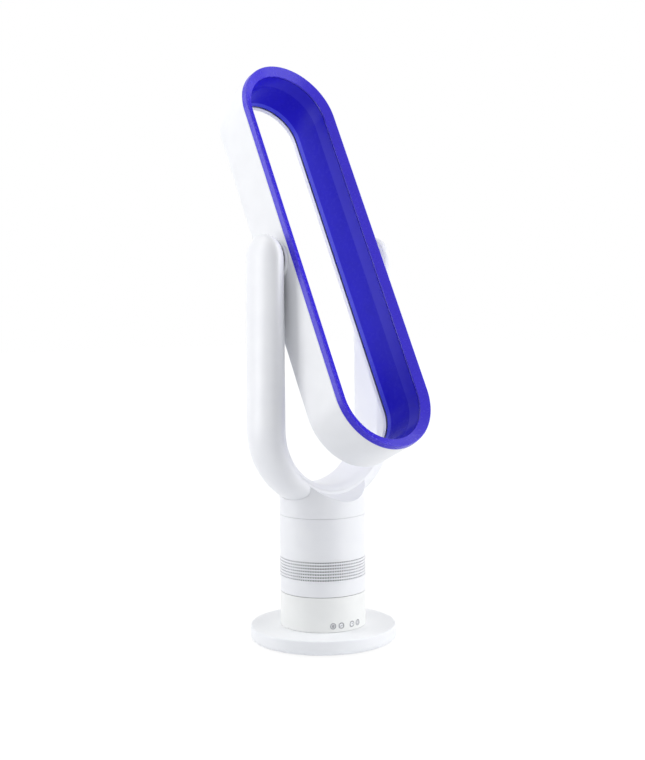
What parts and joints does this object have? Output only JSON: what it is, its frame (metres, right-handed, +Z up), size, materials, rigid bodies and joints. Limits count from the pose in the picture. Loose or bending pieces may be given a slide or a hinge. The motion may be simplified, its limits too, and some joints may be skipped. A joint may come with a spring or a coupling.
{
  "type": "bladeless fan",
  "caption": "Floor-standing bladeless fan: a long racetrack air loop that tilts in a hollow U-shaped yoke, on a round column with push buttons and a weighted disc base.",
  "frame": {"origin": "on the floor, below the middle of the whole fan; the axis of the column is 6.35 mm behind it", "axes": "+Z up, -Y is the front of the fan, +X is the side of the right arm as seen from behind"},
  "size_m": [0.272, 0.3796, 0.9461],
  "materials": {
    "white_shell": "moulded ABS, satin gloss",
    "violet_shell": "moulded ABS, deep violet blue, satin gloss",
    "dark_plastic": "moulded, matt",
    "acetal": "acetal, as moulded",
    "rubber": "matt",
    "cast_iron": "as cast",
    "steel": "zinc plated",
    "circuit": "solder mask"
  },
  "bodies": {
    "base": {"base_cover": "white_shell", "base_weight": "cast_iron", "base_bottom_plate": "dark_plastic", "base_screw_1": "steel", "base_screw_2": "steel", "base_screw_3": "steel", "base_screw_4": "steel", "foot_1": "rubber", "foot_2": "rubber", "foot_3": "rubber", "foot_4": "rubber", "foot_5": "rubber", "control_housing": "white_shell", "control_board": "circuit", "power_inlet": "dark_plastic", "swing_motor": "steel", "swing_plate": "dark_plastic", "slide_ring": "acetal", "swivel_retainer": "steel"},
    "mode_key": {"mode_button": "white_shell"},
    "swing_key": {"swing_button": "white_shell"},
    "timer_key": {"timer_button": "white_shell"},
    "power_key": {"power_button": "white_shell"},
    "pinion": {"swing_pinion": "acetal"},
    "head": {"motor_housing": "white_shell", "turntable": "dark_plastic", "swing_gear": "acetal", "driver_board": "circuit", "bucket_gasket": "rubber", "motor_bucket": "dark_plastic", "duct_seal": "rubber", "blower_motor": "steel", "motor_bearing": "steel", "motor_tail_cap": "dark_plastic", "collar": "white_shell", "yoke_cover": "white_shell", "yoke_shell": "white_shell", "tilt_bush_left": "acetal", "tilt_bush_right": "acetal", "tilt_seal_left": "rubber", "tilt_seal_right": "rubber"},
    "rotor": {"impeller": "dark_plastic", "motor_shaft": "steel", "impeller_cap": "steel"},
    "air_loop": {"loop_rim": "violet_shell", "loop_throat": "violet_shell", "loop_casing": "white_shell", "trunnion_left": "white_shell", "trunnion_right": "white_shell", "snap_ring_left": "steel", "snap_ring_right": "steel"}
  },
  "joints": [
    {"name": "swing", "type": "hinge", "parent": "base", "child": "head", "pos_m": [0, 0.00635, 0.0839], "axis": [0, 0, 1], "range_deg": [-45, 45]},
    {"name": "pinion_spin", "type": "hinge", "parent": "base", "child": "pinion", "pos_m": [0, 0.05135, 0.081], "axis": [0, 0, 1], "range_deg": [-180, 180]},
    {"name": "impeller_spin", "type": "hinge", "parent": "head", "child": "rotor", "pos_m": [0, 0.00635, 0.16], "axis": [0, 0, 1], "continuous": true},
    {"name": "loop_tilt", "type": "hinge", "parent": "head", "child": "air_loop", "pos_m": [0, 0.00635, 0.6188], "axis": [1, 0, 0], "range_deg": [-18.5, 56.5]},
    {"name": "mode_press", "type": "slide", "parent": "base", "child": "mode_key", "axis": [0.4384, 0.8988, 0], "range_m": [0, 0.0008], "stiffness_N_per_m": 900},
    {"name": "swing_press", "type": "slide", "parent": "base", "child": "swing_key", "axis": [0.2504, 0.9681, 0], "range_m": [0, 0.0008], "stiffness_N_per_m": 900},
    {"name": "timer_press", "type": "slide", "parent": "base", "child": "timer_key", "axis": [-0.0349, 0.9994, 0], "range_m": [0, 0.0008], "stiffness_N_per_m": 900},
    {"name": "power_press", "type": "slide", "parent": "base", "child": "power_key", "axis": [-0.225, 0.9744, 0], "range_m": [0, 0.0008], "stiffness_N_per_m": 900}
  ],
  "couplings": [
    {"joint": "pinion_spin", "follows": "swing", "ratio": -4}
  ]
}
